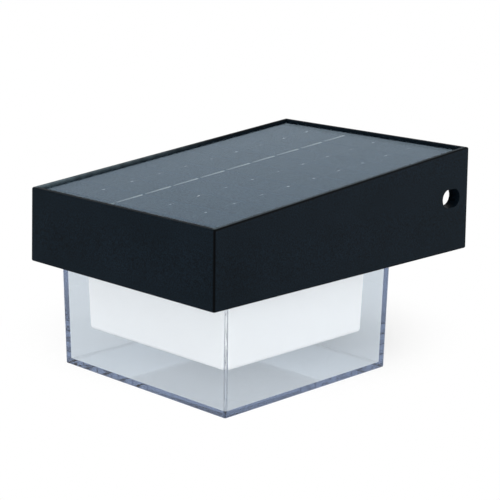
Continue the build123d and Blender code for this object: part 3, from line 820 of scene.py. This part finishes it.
# %% Silicone seals
silicone = moulded(
    "cut_silicone_sheet", "d2d2cb", "e0e0da", 9.0, 0.6, 0.01, (0.45, 0.65),
    {
        "IOR": 1.41,
        "Specular IOR Level": 0.3,
        "Subsurface Weight": 0.6,
        "Subsurface Radius": (1.0, 1.0, 1.0),
        "Subsurface Scale": 1.5 * MM,
    },
)
dress(silicone, "cover_seal")
# Dull, soft black that hides in the shade between the plate and the walls.
black_silicone = moulded(
    "cut_black_silicone_sheet", "0c0d0e", "141617", 9.0, 0.6, 0.01, (0.5, 0.7),
    {"IOR": 1.41, "Specular IOR Level": 0.2},
)
dress(black_silicone, "base_seal")

# %% [markdown]
# Every screw is zinc-plated steel. Plating in a tumbling barrel leaves a soft, slightly cloudy lustre.
# The inner screws keep the solids of the frame. The four that hold the base plate can be seen from below,
# so they are modelled again with the cross recess that the screwdriver needs. A cutter could be
# subtracted from the head, but here its face is split along eight planes and the cross-shaped part is
# pushed in, which keeps the mesh clean.

# %% Zinc-plated screws
# A pale, warm-grey metal with a soft gleam that clouds over in patches.
zinc, tree, shader = start_finish("barrel_plated_zinc", {"Metallic": 1.0})
place = put(tree, "ShaderNodeTexCoord")
clouds = put(tree, "ShaderNodeTexNoise", {
    "Vector": place.outputs["Object"],
    "Scale": per_metre(0.8),
    "Detail": 4.0,
})
lustre = put(tree, "ShaderNodeMixRGB", {
    "Fac": clouds.outputs["Fac"],
    "Color1": colour("9b9ea0"),
    "Color2": colour("d2d3d1"),
})
tree.links.new(lustre.outputs["Color"], shader.inputs["Base Color"])
dull = put(tree, "ShaderNodeMapRange", {"Value": clouds.outputs["Fac"], "To Min": 0.22, "To Max": 0.45})
tree.links.new(dull.outputs["Result"], shader.inputs["Roughness"])
dress(zinc, "base_screws", "led_tray_screws", "led_board_screws", "strap_screws", "board_screws")

# %% Cross-head base screws
head_radius = 2.3 * MM
head_height = 1.5 * MM
head_edge = 0.4 * MM
shank_radius = 1.2 * MM
recess_length = 2.6 * MM
recess_width = 0.7 * MM
recess_depth = 0.8 * MM
head_segments = 24
shank_segments = 12
screws_low, screws_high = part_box("base_screws")
shank_length = screws_high.z - screws_low.z - head_height

screw = bmesh.new()
bmesh.ops.create_cone(
    screw, cap_ends=True, segments=head_segments,
    radius1=head_radius, radius2=head_radius, depth=head_height,
)
lower_rim = [edge for edge in screw.edges if all(vert.co.z < 0 for vert in edge.verts)]
bmesh.ops.bevel(
    screw, geom=lower_rim, offset=head_edge, segments=3, profile=0.5, affect="EDGES", material=-1,
)
for normal in (Vector((1, 0, 0)), Vector((0, 1, 0))):
    for reach in (-recess_length, -recess_width, recess_width, recess_length):
        everything = screw.verts[:] + screw.edges[:] + screw.faces[:]
        bmesh.ops.bisect_plane(screw, geom=everything, plane_co=normal * reach / 2, plane_no=normal)
screw.normal_update()
cross = []
for face in screw.faces:
    short, long = sorted((abs(face.calc_center_median().x), abs(face.calc_center_median().y)))
    if face.normal.z < -0.9 and short < recess_width / 2 and long < recess_length / 2:
        cross.append(face)
pushed = bmesh.ops.extrude_face_region(screw, geom=cross)["geom"]
recess_floor = [part for part in pushed if isinstance(part, bmesh.types.BMVert)]
bmesh.ops.translate(screw, verts=recess_floor, vec=(0, 0, recess_depth))
bmesh.ops.create_cone(
    screw, cap_ends=True, segments=shank_segments,
    radius1=shank_radius, radius2=shank_radius, depth=shank_length,
    matrix=Matrix.Translation((0, 0, (head_height + shank_length) / 2)),
)
print("one screw:", len(screw.faces), "faces")

# %% Four screws from one
first = screw.verts[:] + screw.edges[:] + screw.faces[:]
first_verts = screw.verts[:]
for x in (screws_low.x + head_radius, screws_high.x - head_radius):
    for y in (screws_low.y + head_radius, screws_high.y - head_radius):
        copy = bmesh.ops.duplicate(screw, geom=first)["geom"]
        copy_verts = [part for part in copy if isinstance(part, bmesh.types.BMVert)]
        bmesh.ops.translate(screw, verts=copy_verts, vec=(x, y, screws_low.z + head_height / 2))
bmesh.ops.delete(screw, geom=first_verts, context="VERTS")
bmesh.ops.recalc_face_normals(screw, faces=screw.faces)
cross_screws = add_piece("cross_head_screws", screw, zinc)
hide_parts("base_screws")

# %% [markdown]
# The lamp tray is white ABS, so that it throws stray light back down. The lamp board under it wears white
# solder mask, and the copper beneath the mask shows as slightly raised, slightly lighter fields. A Brick
# texture draws such fields with the etched gaps between them, and it serves the green control board as
# well.

# %% Lamp tray
# A clean white with a soft gloss.
white_abs = moulded(
    "moulded_white_abs", "e2e2de", "ededea", 25.0, 0.6, 0.01, (0.35, 0.5), {"IOR": 1.53},
)
dress(white_abs, "led_tray")

# %% Lamp board
copper_height = 0.035 * MM


def solder_mask(name, bare, field, field_mm, sockets):
    """A lacquered board: copper fields that shine through the lacquer, with etched gaps between them."""
    finish, tree, shader = start_finish(name, sockets)
    place = put(tree, "ShaderNodeTexCoord")
    copper = put(tree, "ShaderNodeTexBrick", {
        "Vector": place.outputs["Object"],
        "Color1": colour(field),
        "Color2": colour(field),
        "Mortar": colour(bare),
        "Scale": per_metre(field_mm),
        "Brick Width": 3.0,
        "Row Height": 1.0,
        "Mortar Size": 0.06,
    })
    tree.links.new(copper.outputs["Color"], shader.inputs["Base Color"])
    flow = put(tree, "ShaderNodeTexNoise", {"Vector": place.outputs["Object"], "Scale": per_metre(4.0)})
    gloss = put(tree, "ShaderNodeMapRange", {"Value": flow.outputs["Fac"], "To Min": 0.25, "To Max": 0.45})
    tree.links.new(gloss.outputs["Result"], shader.inputs["Roughness"])
    step = put(tree, "ShaderNodeBump", {
        "Height": copper.outputs["Fac"],
        "Distance": copper_height,
    }, invert=True)
    tree.links.new(step.outputs["Normal"], shader.inputs["Normal"])
    return finish


# An even white lacquer with a faint pattern of fields.
white_mask = solder_mask("screened_white_solder_mask", "dcdcd6", "ecece8", 4.0, {"IOR": 1.5})
dress(white_mask, "led_board")

# %% [markdown]
# Each lamp chip is a white package with a round pool of yellow phosphor gel. The chips stand on an even
# grid, so the material folds the grid into one cell with a Wrap node, and one circle then draws the gel
# of every chip.

# %% Lamp chips
# A chalky white frame round a warm yellow gel with fine grains in it.
chip_pitch = 12.0 * MM
gel_radius = 1.1 * MM
phosphor, tree, shader = start_finish("potted_phosphor_gel", {"IOR": 1.41, "Roughness": 0.35})
chips_low, chips_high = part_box("led_chips")
chips_middle = (chips_low + chips_high) / 2
place = put(tree, "ShaderNodeTexCoord")
from_middle = put(tree, "ShaderNodeVectorMath", {
    0: place.outputs["Object"],
    1: chips_middle,
}, operation="SUBTRACT")
folded = put(tree, "ShaderNodeVectorMath", {
    0: from_middle.outputs["Vector"],
    1: (chip_pitch, chip_pitch, chip_pitch),
}, operation="WRAP")
level = put(tree, "ShaderNodeVectorMath", {
    0: folded.outputs["Vector"],
    1: (chip_pitch / 2, chip_pitch / 2, 0),
}, operation="SUBTRACT")
flat = put(tree, "ShaderNodeVectorMath", {0: level.outputs["Vector"], 1: (1, 1, 0)}, operation="MULTIPLY")
reach = put(tree, "ShaderNodeVectorMath", {0: flat.outputs["Vector"]}, operation="LENGTH")
pool = put(tree, "ShaderNodeMath", {0: reach.outputs["Value"], 1: gel_radius}, operation="LESS_THAN")
grains = put(tree, "ShaderNodeTexNoise", {"Vector": place.outputs["Object"], "Scale": per_metre(0.15)})
gel = put(tree, "ShaderNodeMixRGB", {
    "Fac": grains.outputs["Fac"],
    "Color1": colour("e0bb3c"),
    "Color2": colour("f0d878"),
})
chip = put(tree, "ShaderNodeMixRGB", {
    "Fac": pool.outputs["Value"],
    "Color1": colour("ecebe4"),
    "Color2": gel.outputs["Color"],
})
tree.links.new(chip.outputs["Color"], shader.inputs["Base Color"])
dress(phosphor, "led_chips")

# %% [markdown]
# The battery is a steel can in a blue shrink sleeve that folds over both ends and leaves the middle of
# each end bare. The cell lies along X in the middle of the light, so the distance along X tells sleeve
# from bare steel. Shrinking leaves long, faint wrinkles, drawn by noise that is stretched along the cell.

# %% Battery
# Glossy blue plastic with a silver disc at each end.
sleeve_end = 0.9 * MM
wrinkle_share = 0.1
fold_depth = 0.05 * MM
battery_low, battery_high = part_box("battery_cell")
sleeve, tree, shader = start_finish("shrink_sleeved_steel_can", {})
place = put(tree, "ShaderNodeTexCoord")
stretch = put(tree, "ShaderNodeMapping", {
    "Vector": place.outputs["Object"],
    "Scale": (wrinkle_share, 1.0, 1.0),
})
wrinkles = put(tree, "ShaderNodeTexNoise", {
    "Vector": stretch.outputs["Vector"],
    "Scale": per_metre(2.5),
    "Detail": 3.0,
})
blue = put(tree, "ShaderNodeMixRGB", {
    "Fac": wrinkles.outputs["Fac"],
    "Color1": colour("1f5fa0"),
    "Color2": colour("2f78bd"),
})
axes = put(tree, "ShaderNodeSeparateXYZ", {"Vector": place.outputs["Object"]})
along = put(tree, "ShaderNodeMath", {0: axes.outputs["X"]}, operation="ABSOLUTE")
bare = put(tree, "ShaderNodeMath", {
    0: along.outputs["Value"],
    1: (battery_high.x - battery_low.x) / 2 - sleeve_end,
}, operation="GREATER_THAN")
outside = put(tree, "ShaderNodeMixRGB", {
    "Fac": bare.outputs["Value"],
    "Color1": blue.outputs["Color"],
    "Color2": colour("c4c3bd"),
})
tree.links.new(outside.outputs["Color"], shader.inputs["Base Color"])
tree.links.new(bare.outputs["Value"], shader.inputs["Metallic"])
gloss = put(tree, "ShaderNodeMapRange", {"Value": wrinkles.outputs["Fac"], "To Min": 0.2, "To Max": 0.36})
tree.links.new(gloss.outputs["Result"], shader.inputs["Roughness"])
folds = put(tree, "ShaderNodeBump", {"Height": wrinkles.outputs["Fac"], "Distance": fold_depth})
tree.links.new(folds.outputs["Normal"], shader.inputs["Normal"])
dress(sleeve, "battery_cell")

# %% [markdown]
# The battery's strap and the switch are black nylon. They could wear the housing's ABS, but nylon is
# duller and slightly brown in the light, so the same moulded finish takes other colours and a rougher
# grain.

# %% Strap and switch
# Dull brown-black. The real grain is about 0.1 mm and is drawn at 0.4 mm.
black_nylon = moulded(
    "moulded_black_nylon", "141312", "1d1c1a", 12.0, 0.4, 0.015, (0.45, 0.65),
    {"IOR": 1.53, "Specular IOR Level": 0.4},
)
dress(black_nylon, "battery_strap", "switch_body", "switch_plunger")

# %% [markdown]
# The control board is the usual green lacquer over copper. Its parts are each a small lesson in one plain
# material: resin is black and matt, ferrite is a grey sinter with visible grains, nylon sockets are
# creamy and let some light in. The capacitor's sleeve stops just under its top, so its height tells
# sleeve from aluminium.

# %% Control board and its parts
# A clear green that is lighter over the copper.
green_mask = solder_mask("screened_green_solder_mask", "0c3a1f", "17592f", 2.0, {"IOR": 1.5})
dress(green_mask, "control_board")

# Black, matt and finely pitted.
resin = moulded("transfer_moulded_resin", "0e0e0f", "171718", 3.0, 0.15, 0.008, (0.6, 0.75), {"IOR": 1.55})
dress(resin, "charge_chip")

# Mid-grey with darker grains, like fine stone.
ferrite = moulded("sintered_ferrite", "232427", "3a3c40", 0.7, 0.3, 0.02, (0.55, 0.8), {"IOR": 1.8})
dress(ferrite, "boost_inductor")

# Warm white and a little translucent.
natural_nylon = moulded(
    "moulded_natural_nylon", "dcd5c3", "e8e2d3", 6.0, 0.4, 0.006, (0.4, 0.55),
    {
        "IOR": 1.53,
        "Subsurface Weight": 0.3,
        "Subsurface Radius": (1.0, 0.9, 0.7),
        "Subsurface Scale": 1.0 * MM,
    },
)
dress(natural_nylon, "wire_sockets")

# %% Capacitor
# A dark blue sleeve with a pale stripe down one side, and a bright drawn-aluminium top.
top_band = 0.3 * MM
stripe_width = 1.6 * MM
can_low, can_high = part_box("filter_capacitor")
can_middle = (can_low + can_high) / 2
can, tree, shader = start_finish("sleeved_aluminium_can", {})
place = put(tree, "ShaderNodeTexCoord")
axes = put(tree, "ShaderNodeSeparateXYZ", {"Vector": place.outputs["Object"]})
top = put(tree, "ShaderNodeMath", {
    0: axes.outputs["Z"],
    1: can_high.z - top_band,
}, operation="GREATER_THAN")
stripe = put(tree, "ShaderNodeMath", {
    0: axes.outputs["X"],
    1: can_middle.x,
    2: stripe_width / 2,
}, operation="COMPARE")
rear = put(tree, "ShaderNodeMath", {0: axes.outputs["Y"], 1: can_middle.y}, operation="GREATER_THAN")
mark = put(tree, "ShaderNodeMath", {
    0: stripe.outputs["Value"],
    1: rear.outputs["Value"],
}, operation="MULTIPLY")
skin = put(tree, "ShaderNodeMixRGB", {
    "Fac": mark.outputs["Value"],
    "Color1": colour("15182e"),
    "Color2": colour("b9bcc6"),
})
outside = put(tree, "ShaderNodeMixRGB", {
    "Fac": top.outputs["Value"],
    "Color1": skin.outputs["Color"],
    "Color2": colour("d6d7d8"),
})
tree.links.new(outside.outputs["Color"], shader.inputs["Base Color"])
tree.links.new(top.outputs["Value"], shader.inputs["Metallic"])
wear = put(tree, "ShaderNodeTexNoise", {"Vector": place.outputs["Object"], "Scale": per_metre(1.5)})
gloss = put(tree, "ShaderNodeMapRange", {"Value": wear.outputs["Fac"], "To Min": 0.22, "To Max": 0.4})
tree.links.new(gloss.outputs["Result"], shader.inputs["Roughness"])
dress(can, "filter_capacitor")

# %% [markdown]
# Three pairs of leads join the panel, the lamps and the battery to the board. Each pair is one node with
# a red and a black lead side by side, so the middle of the node's box is the line between the two
# colours. PVC insulation is soft and slightly shiny, with tiny ripples from the die that it was drawn
# through.

# %% Leads
for pair in ("panel_leads", "led_leads", "battery_leads"):
    pair_low, pair_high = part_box(pair)
    insulation, tree, shader = start_finish("extruded_pvc_" + pair, {"IOR": 1.54})
    place = put(tree, "ShaderNodeTexCoord")
    axes = put(tree, "ShaderNodeSeparateXYZ", {"Vector": place.outputs["Object"]})
    positive = put(tree, "ShaderNodeMath", {
        0: axes.outputs["X"],
        1: (pair_low.x + pair_high.x) / 2,
    }, operation="GREATER_THAN")
    ripple = put(tree, "ShaderNodeTexNoise", {
        "Vector": place.outputs["Object"],
        "Scale": per_metre(0.5),
        "Detail": 2.0,
    })
    red = put(tree, "ShaderNodeMixRGB", {
        "Fac": ripple.outputs["Fac"],
        "Color1": colour("9c1a18"),
        "Color2": colour("b42a26"),
    })
    pvc = put(tree, "ShaderNodeMixRGB", {
        "Fac": positive.outputs["Value"],
        "Color1": colour("151516"),
        "Color2": red.outputs["Color"],
    })
    tree.links.new(pvc.outputs["Color"], shader.inputs["Base Color"])
    sheen = put(tree, "ShaderNodeMapRange", {"Value": ripple.outputs["Fac"], "To Min": 0.35, "To Max": 0.5})
    tree.links.new(sheen.outputs["Result"], shader.inputs["Roughness"])
    dress(insulation, pair)

# %% [markdown]
# Last comes the book-keeping. The view transform is set to Standard, which shows each colour as it is
# written. The cover needs many bounces, because light that runs inside its walls is reflected again and
# again before it comes out.

# %% Finish
bounces = 48
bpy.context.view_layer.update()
bpy.context.scene.view_settings.view_transform = "Standard"
bpy.context.scene.cycles.max_bounces = bounces
bpy.context.scene.cycles.glossy_bounces = bounces
bpy.context.scene.cycles.transmission_bounces = bounces
